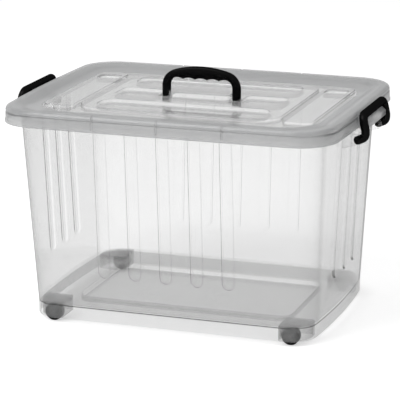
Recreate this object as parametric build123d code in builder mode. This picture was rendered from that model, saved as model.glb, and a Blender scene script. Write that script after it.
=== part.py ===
import os
from math import cos, radians, sin, tan

from build123d import *

# Rolling storage bin, in millimetres. The origin is on the ground below the middle of the bin,
# X runs along the length, -Y is the front and +Z is up.

# Overall sizes
lid_half_length = 300.0
lid_half_width = 236.0
panel_z = 378.5

# Shared wall and gaps
wall = 2.4
lid_side_gap = 0.8
lid_seat_gap = 0.42
hinge_gap = 0.05
pin_side_gap = 0.5

# Tub
tub_top_end_inset = 23.0
tub_top_side_inset = 29.0
tub_end_draft = 16.0
tub_side_draft = 23.0
tub_foot_radius = 47.0
tub_top_radius = 44.0
tub_end_bow = 10.0
skirt_bottom_z = 8.5
foot_line_z = 33.8
ledge_inner_z = 29.5
floor_z = 21.5
recess_end_inset = 66.0
recess_side_inset = 76.5
recess_radius = 22.0
flute_width = 24.0
flute_depth = 2.5
flute_bottom_z = 91.2
side_flute_pitch = 56.3
side_flute_count = 5
end_flute_pitch = 58.0
end_flute_count = 3
flange_thickness = 2.4
flange_lip_height = 12.0
flange_lip_wall = 2.0

# Lid
lid_radius = 68.0
lid_end_bow = 7.3
lid_side_bow = 3.5
lid_skirt_drop = 19.0
lid_hem_height = 4.0
lid_hem_depth = 1.0
bead_start_rise = 1.5
bead_middle_rise = 6.3
rim_top_rise = 8.7
bead_start_inset = 1.0
bead_middle_inset = 3.6
bead_top_inset = 6.5
rim_crest_width = 3.0
rim_dip_rise = 3.4
rim_dip_end_inset = 34.0
rim_dip_side_inset = 33.0
rim_dip_radius = 58.0
panel_end_inset = 50.0
panel_side_inset = 64.0
panel_radius = 62.0
plateau_height = 5.0
plateau_end_inset = 69.0
plateau_side_inset = 27.0
plateau_radius = 35.0
end_pad_gap = 7.0
end_pad_inset = 7.0
end_pad_radius = 12.0
groove_depth = 6.4
groove_gap = 36.0
groove_side_inset = 14.5
groove_end_inset = 28.0
groove_radius = 24.0
middle_groove_gap = 6.2
middle_groove_radius = 12.0
end_groove_width = 34.0
end_groove_side_inset = 20.0
end_groove_inset = 8.0
notch_width = 8.0
notch_depth = 1.0
notch_reach = 16.0
side_notch_pitch = 115.0
side_notch_count = 3

# Carrying handle
handle_outer_half_width = 71.8
handle_leg_width = 14.0
handle_depth = 13.0
handle_pin_rise = 6.1
handle_height = 50.4
handle_shoulder_inset = 21.8
handle_shoulder_drop = 7.2
handle_leg_height = 16.4
handle_grip_thickness = 23.0
handle_inner_corner = 14.0
handle_pin_radius = 2.5
handle_pin_length = 5.5
handle_fold_angle = 76.0
scallop_pitch = 22.0
scallop_depth = 4.5
scallop_count = 5
pedestal_half_width = 22.0
pedestal_radius = 15.0
pedestal_height = 8.0
foot_slot_floor_gap = 0.6
foot_slot_side_gap = 0.8

# Latches
latch_arm_y = 70.0
latch_arm_half_width = 6.0
latch_arm_bend = 9.0
latch_edge_bevel = 2.0
latch_bar_radius = 7.5
latch_bar_bevel = 3.0
latch_bar_reach = 12.0
latch_bar_height = 43.2
latch_pivot_reach = 3.5
latch_pivot_drop = 18.5
latch_elbow_reach = 17.5
latch_elbow_low_height = 6.0
latch_elbow_high_height = 18.0
latch_pin_radius = 3.0
ear_thickness = 5.5
ear_round = 8.5
ear_height = 26.0
latch_lip_end_gap = 4.0
latch_lip_reach = 18.0
latch_lip_slope = 41.0
latch_bar_gap = 0.4

# Wheels
wheel_radius = 16.0
wheel_width = 15.0
wheel_end_inset = 44.0
wheel_side_inset = 19.0
wheel_hub_radius = 6.5
wheel_side_gap = 0.8
wheel_edge_bevel = 1.8
wheel_tyre = 4.0
wheel_dish = 3.0
axle_radius = 2.5
axle_fit = 0.02
cheek_thickness = 2.6
cheek_round = 6.5
cheek_top_width = 30.0
well_end_gap = 1.0
well_inner_reach = 38.0
well_top_gap = 0.7

# Dependent sizes of the tub
tub_top_half_length = lid_half_length - tub_top_end_inset
tub_top_half_width = lid_half_width - tub_top_side_inset
tub_foot_half_length = tub_top_half_length - tub_end_draft
tub_foot_half_width = tub_top_half_width - tub_side_draft
recess_half_length = tub_foot_half_length - recess_end_inset
recess_half_width = tub_foot_half_width - recess_side_inset
tub_top_z = panel_z + rim_dip_rise - wall - lid_seat_gap

# Dependent sizes of the lid
lid_bottom_z = panel_z - lid_skirt_drop
rim_top_z = panel_z + rim_top_rise
panel_half_length = lid_half_length - panel_end_inset
panel_half_width = lid_half_width - panel_side_inset
plateau_half_length = panel_half_length - plateau_end_inset
plateau_half_width = panel_half_width - plateau_side_inset
plateau_z = panel_z + plateau_height
end_pad_start_x = plateau_half_length + end_pad_gap
end_pad_length = panel_half_length - end_pad_inset - end_pad_start_x
end_pad_x = end_pad_start_x + end_pad_length / 2
groove_z = plateau_z - groove_depth
groove_half_length = plateau_half_length - groove_end_inset
groove_width = 2 * (plateau_half_width - groove_side_inset - groove_gap) / 3
groove_pitch = groove_width + groove_gap
middle_groove_start_x = handle_outer_half_width + middle_groove_gap
middle_groove_length = groove_half_length - middle_groove_start_x
middle_groove_x = middle_groove_start_x + middle_groove_length / 2
end_groove_y = plateau_half_width - end_groove_side_inset - end_groove_width / 2

# Dependent sizes of the handle and its seat
handle_pin_z = panel_z + handle_pin_rise
handle_foot_z = handle_pin_z - handle_depth / 2
handle_top_z = handle_pin_z + handle_height
handle_leg_top_z = handle_pin_z + handle_leg_height
handle_underside_z = handle_top_z - handle_grip_thickness
handle_shoulder_x = handle_outer_half_width - handle_shoulder_inset
handle_inner_half_width = handle_outer_half_width - handle_leg_width
pedestal_half_length = handle_inner_half_width - pin_side_gap
foot_slot_z = handle_foot_z - foot_slot_floor_gap

# Dependent sizes of the latches
latch_pivot_x = lid_half_length + latch_pivot_reach
latch_pivot_z = lid_bottom_z - latch_pivot_drop
latch_elbow_x = lid_half_length + latch_elbow_reach
latch_bar_x = lid_half_length + latch_bar_reach
latch_bar_z = latch_pivot_z + latch_bar_height
latch_lip_outer_x = lid_half_length + latch_lip_reach
latch_lip_half_width = latch_arm_y - latch_arm_half_width - latch_lip_end_gap
ear_face_y = latch_arm_y - latch_arm_half_width - pin_side_gap

# Dependent sizes of the wheels and their wells
wheel_x = tub_foot_half_length - wheel_end_inset
wheel_y = tub_foot_half_width - wheel_side_inset
axle_z = wheel_radius
well_start_x = wheel_x - wheel_radius - well_end_gap
well_start_y = wheel_y - well_inner_reach
well_ceiling_z = 2 * wheel_radius + well_top_gap
well_pad_z = well_ceiling_z + wall
cheek_inner_y = wheel_width / 2 + wheel_side_gap
beyond = 20.0


def bowed_outline(half_length, half_width, radius, end_bow, side_bow):
    """A rounded rectangle whose ends and sides swell outwards by their bow."""
    corner_x = half_length - end_bow
    corner_y = half_width - side_bow
    with BuildLine() as sides:
        ThreePointArc((corner_x, -corner_y), (half_length, 0), (corner_x, corner_y))
        ThreePointArc((-corner_x, corner_y), (-half_length, 0), (-corner_x, -corner_y))
        if side_bow > 0:
            ThreePointArc((corner_x, corner_y), (0, half_width), (-corner_x, corner_y))
            ThreePointArc((-corner_x, -corner_y), (0, -half_width), (corner_x, -corner_y))
        else:
            Line((corner_x, corner_y), (-corner_x, corner_y))
            Line((-corner_x, -corner_y), (corner_x, -corner_y))
    make_face(sides.edges())
    fillet(vertices(), radius)


def tub_outline(share, inset):
    """The tub's wall outline, from the foot at share 0 to the top edge at share 1."""
    bowed_outline(
        tub_foot_half_length + share * (tub_top_half_length - tub_foot_half_length) - inset,
        tub_foot_half_width + share * (tub_top_half_width - tub_foot_half_width) - inset,
        tub_foot_radius + share * (tub_top_radius - tub_foot_radius) - inset,
        tub_end_bow,
        0,
    )


def lid_outline(inset):
    bowed_outline(
        lid_half_length - inset,
        lid_half_width - inset,
        lid_radius - inset,
        lid_end_bow,
        lid_side_bow,
    )


def wall_form(inset, extra):
    """The drafted space inside the tub's wall, drawn in by inset and carried up by extra."""
    with BuildPart() as form:
        with BuildSketch(Plane.XY.offset(foot_line_z)):
            tub_outline(0, inset)
        with BuildSketch(Plane.XY.offset(tub_top_z)):
            tub_outline(1, inset)
        loft(ruled=True)
        if extra > 0:
            with BuildSketch(Plane.XY.offset(tub_top_z)):
                tub_outline(1, inset)
            extrude(amount=extra)
    return form.part


def flute_columns(margin):
    """Upright bars with round feet that cross the tub where its walls swell into flutes."""
    foot_z = flute_bottom_z + flute_width / 2
    height = tub_top_z + beyond - foot_z
    width = flute_width + 2 * margin
    with BuildPart() as columns:
        for plane, pitch, count in (
            (Plane.XZ, side_flute_pitch, side_flute_count),
            (Plane.YZ, end_flute_pitch, end_flute_count),
        ):
            for index in range(count):
                across = (index - (count - 1) / 2) * pitch
                with BuildSketch(plane):
                    with Locations((across, foot_z + height / 2)):
                        Rectangle(width, height)
                    with Locations((across, foot_z)):
                        Circle(width / 2)
                extrude(amount=tub_top_half_length + beyond, both=True)
    return columns.part


def under_floor(drop, spread):
    """The space above the floor's surface, lowered by drop and widened by spread."""
    length = 2 * (recess_half_length + spread)
    width = 2 * (recess_half_width + spread)
    with BuildPart() as form:
        with BuildSketch(Plane.XY.offset(foot_line_z - drop)):
            tub_outline(0, wall)
        with BuildSketch(Plane.XY.offset(ledge_inner_z - drop)):
            RectangleRounded(length, width, recess_radius + spread)
        loft(ruled=True)
        with BuildSketch(Plane.XY.offset(floor_z - drop)):
            RectangleRounded(length, width, recess_radius + spread)
        extrude(amount=ledge_inner_z - floor_z)
    return form.part


def corner_blocks(start_x, start_y, low_z, high_z):
    """Four blocks that run from start_x and start_y out past the corners."""
    size_x = tub_foot_half_length + beyond - start_x
    size_y = tub_foot_half_width + beyond - start_y
    with BuildPart() as blocks:
        with BuildSketch(Plane.XY.offset(low_z)):
            with GridLocations(2 * start_x + size_x, 2 * start_y + size_y, 2, 2):
                Rectangle(size_x, size_y)
        extrude(amount=high_z - low_z)
    return blocks.part


def wheel_cheeks():
    """A pair of hangers beside each wheel, rounded below about the axle."""
    with BuildPart() as cheeks:
        for side_y in (-1, 1):
            for offset in (-cheek_inner_y - cheek_thickness, cheek_inner_y):
                near_y = side_y * wheel_y + offset
                for side_x in (-1, 1):
                    with BuildSketch(Plane.XZ.offset(-near_y)):
                        with BuildLine():
                            Polyline(
                                (side_x * wheel_x - cheek_round, axle_z),
                                (side_x * wheel_x - cheek_top_width / 2, well_ceiling_z),
                                (side_x * wheel_x + cheek_top_width / 2, well_ceiling_z),
                                (side_x * wheel_x + cheek_round, axle_z),
                            )
                            ThreePointArc(
                                (side_x * wheel_x + cheek_round, axle_z),
                                (side_x * wheel_x, axle_z - cheek_round),
                                (side_x * wheel_x - cheek_round, axle_z),
                            )
                        make_face()
                    extrude(amount=-cheek_thickness)
    return cheeks.part


def latch_ears():
    """Two plates under the rim at each end, rounded about the latch pivot."""
    root_x = tub_top_half_length - beyond
    with BuildPart() as ears:
        for side_x in (-1, 1):
            pivot = side_x * latch_pivot_x
            root = side_x * root_x
            for near_y in (-ear_face_y, ear_face_y - ear_thickness):
                with BuildSketch(Plane.XZ.offset(-near_y)):
                    with BuildLine():
                        Polyline(
                            (pivot, latch_pivot_z + ear_round),
                            (root, latch_pivot_z + ear_round),
                            (root, latch_pivot_z - ear_height + ear_round),
                            (pivot, latch_pivot_z - ear_round),
                        )
                        ThreePointArc(
                            (pivot, latch_pivot_z - ear_round),
                            (pivot + side_x * ear_round, latch_pivot_z),
                            (pivot, latch_pivot_z + ear_round),
                        )
                    make_face()
                extrude(amount=-ear_thickness)
    return ears.part


def rim_flange():
    """The tub's rolled rim: a flat flange with a lip turned down at its edge."""
    edge = wall + bead_middle_inset + lid_side_gap
    with BuildPart() as flange:
        with BuildSketch(Plane.XY.offset(tub_top_z - flange_lip_height)):
            lid_outline(edge)
        extrude(amount=flange_lip_height)
        with BuildSketch(Plane.XY.offset(tub_top_z - flange_lip_height)):
            lid_outline(edge + flange_lip_wall)
        extrude(amount=flange_lip_height - flange_thickness, mode=Mode.SUBTRACT)
    return flange.part


def lid_form(skin):
    """The space under the lid's top face, drawn in by skin everywhere."""
    with BuildPart() as form:
        with BuildSketch(Plane.XY.offset(lid_bottom_z)):
            lid_outline(skin)
        extrude(amount=panel_z + bead_start_rise - skin - lid_bottom_z)
        for inset, rise in (
            (bead_start_inset, bead_start_rise),
            (bead_middle_inset, bead_middle_rise),
            (bead_top_inset, rim_top_rise),
        ):
            with BuildSketch(Plane.XY.offset(panel_z + rise - skin)):
                lid_outline(inset + skin)
        loft(ruled=True)
        crest_inset = bead_top_inset + rim_crest_width
        for half_length, half_width, radius, rise in (
            (panel_half_length, panel_half_width, panel_radius, 0),
            (
                lid_half_length - rim_dip_end_inset,
                lid_half_width - rim_dip_side_inset,
                rim_dip_radius,
                rim_dip_rise,
            ),
            (
                lid_half_length - crest_inset - lid_end_bow,
                lid_half_width - crest_inset - lid_side_bow,
                lid_radius - bead_top_inset,
                rim_top_rise,
            ),
        ):
            with BuildSketch(Plane.XY.offset(panel_z + rise - skin)):
                RectangleRounded(2 * half_length, 2 * half_width, radius)
        loft(ruled=True, mode=Mode.SUBTRACT)
        with BuildSketch(Plane.XY.offset(panel_z - skin)):
            pad_width = 2 * (plateau_half_width - skin)
            RectangleRounded(2 * (plateau_half_length - skin), pad_width, plateau_radius - skin)
            with Locations((-end_pad_x, 0), (end_pad_x, 0)):
                RectangleRounded(end_pad_length - 2 * skin, pad_width, end_pad_radius - skin)
        extrude(amount=plateau_height)
        with BuildSketch(Plane.XY.offset(groove_z - skin)):
            trough_width = groove_width + 2 * skin
            corner = min(groove_radius, groove_width / 2 - 1)
            with Locations((0, -groove_pitch), (0, groove_pitch)):
                RectangleRounded(2 * (groove_half_length + skin), trough_width, corner + skin)
            with Locations((-middle_groove_x, 0), (middle_groove_x, 0)):
                RectangleRounded(
                    middle_groove_length + 2 * skin, trough_width, middle_groove_radius + skin
                )
            with Locations((-end_pad_x, end_groove_y), (end_pad_x, end_groove_y)):
                RectangleRounded(
                    end_pad_length - 2 * end_groove_inset + 2 * skin,
                    end_groove_width + 2 * skin,
                    end_groove_inset + skin,
                )
        extrude(amount=groove_depth, mode=Mode.SUBTRACT)
        with BuildSketch(Plane.XY.offset(plateau_z - skin)):
            RectangleRounded(
                2 * (pedestal_half_length - skin),
                2 * (pedestal_half_width - skin),
                pedestal_radius - skin,
            )
        extrude(amount=pedestal_height)
    return form.part


def foot_slots(skin):
    """The sunk slots that take the handle's feet and legs as it folds to the front."""
    fold = radians(handle_fold_angle)
    reach = (plateau_z - handle_pin_z + handle_depth / 2 / sin(fold)) * tan(fold)
    rear_y = handle_depth / 2 + foot_slot_side_gap
    inner_x = pedestal_half_length - skin
    outer_x = handle_outer_half_width + foot_slot_side_gap + skin
    length = reach + rear_y + 2 * skin
    centre_x = (inner_x + outer_x) / 2
    with BuildPart() as slots:
        with BuildSketch(Plane.XY.offset(foot_slot_z - skin)):
            with Locations(
                (-centre_x, rear_y + skin - length / 2), (centre_x, rear_y + skin - length / 2)
            ):
                Rectangle(outer_x - inner_x, length)
        extrude(amount=plateau_z + beyond - foot_slot_z)
    return slots.part


def latch_lips(skin):
    """The shelves on the lid's ends that the latch bars press on, sloped away from the bar."""
    slope = radians(latch_lip_slope)
    reach = latch_bar_radius + latch_bar_gap
    touch_x = latch_bar_x - reach * sin(slope)
    touch_z = latch_bar_z - reach * cos(slope)
    inner_x = lid_half_length - lid_end_bow - beyond
    outer_x = latch_lip_outer_x - skin
    top_x = lid_half_length - bead_middle_inset - skin

    def slope_z(x):
        return touch_z - (x - touch_x) * tan(slope) - skin / cos(slope)

    with BuildPart() as lips:
        for side in (-1, 1):
            with BuildSketch(Plane.XZ):
                with BuildLine():
                    Polyline(
                        (side * inner_x, lid_bottom_z),
                        (side * outer_x, lid_bottom_z),
                        (side * outer_x, slope_z(outer_x + skin) + skin * tan(slope)),
                        (side * top_x, slope_z(top_x)),
                        (side * inner_x, slope_z(top_x)),
                        close=True,
                    )
                make_face()
            extrude(amount=latch_lip_half_width - skin, both=True)
    return lips.part


def axle_pins(radius):
    """Bars along Y through every wheel and both of its cheeks."""
    with BuildPart() as pins:
        for side_y in (-1, 1):
            with BuildSketch(Plane.XZ.offset(-side_y * wheel_y)):
                with Locations((-wheel_x, axle_z), (wheel_x, axle_z)):
                    Circle(radius)
            extrude(amount=cheek_inner_y + cheek_thickness, both=True)
    return pins.part


def latch_arms(side):
    """The two bent arms of a latch, flat on their faces and bevelled round the outer ones."""
    pivot = (side * latch_pivot_x, latch_pivot_z)
    with BuildPart() as arms:
        for side_y in (-1, 1):
            with BuildSketch(Plane.XZ.offset(-side_y * latch_arm_y)):
                with BuildLine():
                    FilletPolyline(
                        pivot,
                        (side * latch_elbow_x, latch_pivot_z + latch_elbow_low_height),
                        (side * latch_elbow_x, latch_pivot_z + latch_elbow_high_height),
                        (side * latch_bar_x, latch_bar_z),
                        radius=latch_arm_bend,
                    )
                trace(line_width=2 * latch_arm_half_width)
                with Locations(pivot):
                    Circle(latch_arm_half_width)
            extrude(amount=latch_arm_half_width, both=True)
        arm_faces = arms.faces().filter_by(Axis.Y).sort_by(Axis.Y)
        chamfer(arm_faces[0].edges() + arm_faces[-1].edges(), latch_edge_bevel)
    return arms.part


def bar_along_y(x, z, radius, half_length, bevel):
    """A round bar along Y whose ends are bevelled."""
    with BuildPart() as bar:
        with BuildSketch(Plane.XZ):
            with Locations((x, z)):
                Circle(radius)
        extrude(amount=half_length, both=True)
        if bevel > 0:
            chamfer(bar.edges().filter_by(GeomType.CIRCLE), bevel)
    return bar.part


os.makedirs("parts", exist_ok=True)

# Tub
with BuildPart() as flute_fronts:
    add(flute_columns(0))
    add(wall_form(-flute_depth, 0), mode=Mode.INTERSECT)

with BuildPart() as flute_backs:
    add(flute_columns(-wall))
    add(wall_form(wall - flute_depth, beyond), mode=Mode.INTERSECT)

with BuildPart() as tub_cavity:
    add(wall_form(wall, beyond))
    add(flute_backs.part)
    add(under_floor(0, 0))
    add(corner_blocks(well_start_x - wall, well_start_y - wall, 0, well_pad_z), mode=Mode.SUBTRACT)

with BuildPart() as tub_underside:
    with BuildSketch(Plane.XY):
        tub_outline(0, wall)
    extrude(amount=foot_line_z - wall)
    add(under_floor(wall, wall), mode=Mode.SUBTRACT)
    add(corner_blocks(well_start_x - wall, well_start_y - wall, 0, well_pad_z), mode=Mode.SUBTRACT)

with BuildPart() as wheel_wells:
    with BuildSketch(Plane.XY):
        tub_outline(0, wall)
    extrude(amount=well_ceiling_z)
    add(corner_blocks(well_start_x, well_start_y, 0, well_pad_z), mode=Mode.INTERSECT)
    add(wheel_cheeks(), mode=Mode.SUBTRACT)

with BuildPart() as tub:
    with BuildSketch(Plane.XY.offset(skirt_bottom_z)):
        tub_outline(0, 0)
    extrude(amount=foot_line_z - skirt_bottom_z)
    add(wall_form(0, 0))
    add(flute_fronts.part)
    add(latch_ears())
    add(rim_flange())
    add(tub_cavity.part, mode=Mode.SUBTRACT)
    add(tub_underside.part, mode=Mode.SUBTRACT)
    add(wheel_wells.part, mode=Mode.SUBTRACT)
    add(axle_pins(axle_radius + axle_fit), mode=Mode.SUBTRACT)
    with BuildSketch(Plane.XZ):
        with Locations((-latch_pivot_x, latch_pivot_z), (latch_pivot_x, latch_pivot_z)):
            Circle(latch_pin_radius + hinge_gap)
    extrude(amount=latch_arm_y, both=True, mode=Mode.SUBTRACT)
tub.part.label = "tub"
export_step(tub.part, "parts/tub.step")

# Lid
with BuildPart() as lid_hollow:
    add(lid_form(wall))
    add(foot_slots(wall), mode=Mode.SUBTRACT)
    add(latch_lips(wall))
    with BuildSketch(Plane.XY.offset(lid_bottom_z - beyond)):
        lid_outline(wall)
    extrude(amount=beyond)

with BuildPart() as rim_notches:
    with BuildSketch(Plane.XY.offset(lid_bottom_z + lid_hem_height)):
        with GridLocations(side_notch_pitch, 2 * lid_half_width, side_notch_count, 2):
            Rectangle(notch_width, 2 * notch_reach)
    extrude(amount=rim_top_z - lid_bottom_z)
    add(lid_form(notch_depth), mode=Mode.SUBTRACT)

with BuildPart() as lid:
    add(lid_form(0))
    add(foot_slots(0), mode=Mode.SUBTRACT)
    with BuildSketch(Plane.XY.offset(lid_bottom_z)):
        lid_outline(-lid_hem_depth)
    extrude(amount=lid_hem_height)
    add(rim_notches.part, mode=Mode.SUBTRACT)
    add(latch_lips(0))
    add(lid_hollow.part, mode=Mode.SUBTRACT)
    with BuildSketch(Plane.YZ):
        with Locations((0, handle_pin_z)):
            Circle(handle_pin_radius + hinge_gap)
    extrude(amount=handle_inner_half_width, both=True, mode=Mode.SUBTRACT)
lid.part.label = "lid"
export_step(lid.part, "parts/lid.step")

# Carrying handle
shoulder_z = handle_top_z - handle_shoulder_drop
with BuildPart() as lid_handle:
    with BuildSketch(Plane.XZ):
        with BuildLine():
            crown = ThreePointArc(
                (-handle_shoulder_x, shoulder_z), (0, handle_top_z), (handle_shoulder_x, shoulder_z)
            )
            right = TangentArc(
                crown @ 1, (handle_outer_half_width, handle_leg_top_z), tangent=crown % 1
            )
            left = TangentArc(
                crown @ 0, (-handle_outer_half_width, handle_leg_top_z), tangent=-(crown % 0)
            )
            bend_z = handle_underside_z - handle_inner_corner
            bend_x = handle_inner_half_width - handle_inner_corner
            Line(right @ 1, (handle_outer_half_width, handle_foot_z))
            Line((handle_outer_half_width, handle_foot_z), (handle_inner_half_width, handle_foot_z))
            Line((handle_inner_half_width, handle_foot_z), (handle_inner_half_width, bend_z))
            RadiusArc(
                (handle_inner_half_width, bend_z), (bend_x, handle_underside_z), -handle_inner_corner
            )
            Line((bend_x, handle_underside_z), (-bend_x, handle_underside_z))
            RadiusArc(
                (-bend_x, handle_underside_z), (-handle_inner_half_width, bend_z), -handle_inner_corner
            )
            Line((-handle_inner_half_width, bend_z), (-handle_inner_half_width, handle_foot_z))
            Line((-handle_inner_half_width, handle_foot_z), (-handle_outer_half_width, handle_foot_z))
            Line((-handle_outer_half_width, handle_foot_z), left @ 1)
        make_face()
    extrude(amount=handle_depth / 2, both=True)
    with BuildSketch(Plane.YZ):
        grip_height = handle_top_z + beyond - handle_pin_z
        with Locations((0, handle_pin_z + grip_height / 2)):
            Rectangle(handle_depth, grip_height)
        with Locations((0, handle_pin_z)):
            Circle(handle_depth / 2)
    extrude(amount=handle_outer_half_width, both=True, mode=Mode.INTERSECT)
    scallop_radius = ((scallop_pitch / 2) ** 2 + scallop_depth ** 2) / (2 * scallop_depth)
    with BuildSketch(Plane.XZ):
        with Locations((0, handle_underside_z + scallop_depth - scallop_radius)):
            with GridLocations(scallop_pitch, 1, scallop_count, 1):
                Circle(scallop_radius)
    extrude(amount=handle_depth, both=True, mode=Mode.SUBTRACT)
    for side in (-1, 1):
        with BuildSketch(Plane.YZ.offset(side * handle_inner_half_width)):
            with Locations((0, handle_pin_z)):
                Circle(handle_pin_radius)
        extrude(amount=-side * handle_pin_length)
lid_handle.part.label = "lid_handle"
export_step(lid_handle.part, "parts/lid_handle.step")

# Latches
for name, side in (("latch_left", -1), ("latch_right", 1)):
    pivot_x = side * latch_pivot_x
    outer_y = latch_arm_y + latch_arm_half_width
    pin_start_y = ear_face_y - ear_thickness + pin_side_gap
    with BuildPart() as latch:
        add(latch_arms(side))
        add(bar_along_y(side * latch_bar_x, latch_bar_z, latch_bar_radius, outer_y, latch_bar_bevel))
        add(bar_along_y(pivot_x, latch_pivot_z, latch_pin_radius, latch_arm_y, 0))
        add(
            bar_along_y(pivot_x, latch_pivot_z, 2 * latch_pin_radius, pin_start_y, 0),
            mode=Mode.SUBTRACT,
        )
    latch.part.label = name
    export_step(latch.part, f"parts/{name}.step")

# Wheels, dished on the side that faces out, and their axles
for name, x, y in (
    ("front_left", -wheel_x, -wheel_y),
    ("front_right", wheel_x, -wheel_y),
    ("rear_left", -wheel_x, wheel_y),
    ("rear_right", wheel_x, wheel_y),
):
    outer = 1 if y < 0 else -1
    with BuildPart() as wheel:
        with BuildSketch(Plane.XZ.offset(-y)):
            with Locations((x, axle_z)):
                Circle(wheel_radius)
        extrude(amount=wheel_width / 2, both=True)
        chamfer(wheel.edges().filter_by(GeomType.CIRCLE), wheel_edge_bevel)
        with BuildSketch(Plane.XZ.offset(-y + outer * wheel_width / 2)):
            with Locations((x, axle_z)):
                Circle(wheel_radius - wheel_tyre)
                Circle(wheel_hub_radius, mode=Mode.SUBTRACT)
        extrude(amount=-outer * wheel_dish, mode=Mode.SUBTRACT)
        with BuildSketch(Plane.XZ.offset(-y)):
            with Locations((x, axle_z)):
                Circle(axle_radius + hinge_gap)
        extrude(amount=wheel_width, both=True, mode=Mode.SUBTRACT)
    wheel.part.label = f"wheel_{name}"
    export_step(wheel.part, f"parts/wheel_{name}.step")
    with BuildPart() as axle:
        with BuildSketch(Plane.XZ.offset(-y)):
            with Locations((x, axle_z)):
                Circle(axle_radius)
        extrude(amount=cheek_inner_y + cheek_thickness, both=True)
    axle.part.label = f"axle_{name}"
    export_step(axle.part, f"parts/axle_{name}.step")
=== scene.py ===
import math

import bmesh
import bpy
import mathutils
import numpy as np
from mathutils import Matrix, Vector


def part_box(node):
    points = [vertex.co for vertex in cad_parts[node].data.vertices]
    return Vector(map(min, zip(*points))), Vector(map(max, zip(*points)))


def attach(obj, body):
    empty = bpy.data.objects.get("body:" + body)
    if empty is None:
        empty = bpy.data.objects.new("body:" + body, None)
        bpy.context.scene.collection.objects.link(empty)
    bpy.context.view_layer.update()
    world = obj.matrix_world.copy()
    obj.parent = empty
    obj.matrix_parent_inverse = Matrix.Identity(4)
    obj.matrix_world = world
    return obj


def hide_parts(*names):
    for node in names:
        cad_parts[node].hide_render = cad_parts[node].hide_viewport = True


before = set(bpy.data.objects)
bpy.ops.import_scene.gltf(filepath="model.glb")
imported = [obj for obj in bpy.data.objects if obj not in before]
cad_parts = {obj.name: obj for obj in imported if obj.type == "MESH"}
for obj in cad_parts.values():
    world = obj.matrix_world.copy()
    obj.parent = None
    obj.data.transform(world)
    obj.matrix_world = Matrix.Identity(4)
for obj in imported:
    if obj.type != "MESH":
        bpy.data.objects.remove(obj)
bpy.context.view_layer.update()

scene = bpy.context.scene
white = (1, 1, 1, 1)


# Helpers for materials

def newMaterial(name):
    material = bpy.data.materials.new(name)
    material.use_nodes = True
    material.node_tree.nodes.clear()
    return material


# One shader node: settings are its own values, and inputs give each socket a value or a link.
def addNode(material, kind, inputs=None, **settings):
    node = material.node_tree.nodes.new(kind)
    for key, value in settings.items():
        setattr(node, key, value)
    for key, value in (inputs or {}).items():
        socket = node.inputs[key]
        if isinstance(value, bpy.types.NodeSocket):
            material.node_tree.links.new(value, socket)
        else:
            socket.default_value = value
    return node


def mathNode(material, operation, first, second=0.0, third=0.0, clamp=False):
    inputs = {0: first, 1: second, 2: third}
    return addNode(material, "ShaderNodeMath", inputs, operation=operation, use_clamp=clamp).outputs[0]


def vectorNode(material, operation, first, second=(0, 0, 0), output=0):
    inputs = {0: first, 1: second}
    return addNode(material, "ShaderNodeVectorMath", inputs, operation=operation).outputs[output]


def mixFloat(material, factor, first, second):
    node = addNode(material, "ShaderNodeMix", {0: factor, 2: first, 3: second}, data_type="FLOAT")
    return node.outputs[0]


def mixShader(material, factor, first, second):
    return addNode(material, "ShaderNodeMixShader", {0: factor, 1: first, 2: second}).outputs[0]


# A smooth step: 0 below start and 1 above end.
def stepUp(material, value, start, end):
    inputs = {"Value": value, "From Min": start, "From Max": end}
    node = addNode(material, "ShaderNodeMapRange", inputs, interpolation_type="SMOOTHSTEP")
    return node.outputs[0]


def noiseAt(material, vector, scale, detail=3.0, roughness=0.55):
    inputs = {"Vector": vector, "Scale": scale, "Detail": detail, "Roughness": roughness}
    return addNode(material, "ShaderNodeTexNoise", inputs).outputs[0]


def bumpFrom(material, spec, relief):
    inputs = {"Height": relief, "Strength": spec["grainStrength"], "Distance": spec["grainHeight"]}
    return addNode(material, "ShaderNodeBump", inputs).outputs[0]


def glossNode(material, roughness, normal):
    inputs = {"Color": white, "Roughness": roughness, "Normal": normal}
    return addNode(material, "ShaderNodeBsdfGlossy", inputs).outputs[0]


def finishMaterial(material, surface):
    addNode(material, "ShaderNodeOutputMaterial", {"Surface": surface})
    return material


# How every clear plastic here meets light: gloss is the most that it mirrors, straightShare the part of
# that seen straight on, and behindShare how much of the painted shade in a bend value counts where the skin
# is met from behind.

clearLook = {
    "gloss": 0.8,
    "straightShare": 0.04,
    "leastCosine": 0.14,
    "behindShare": 0.15,
}
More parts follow.
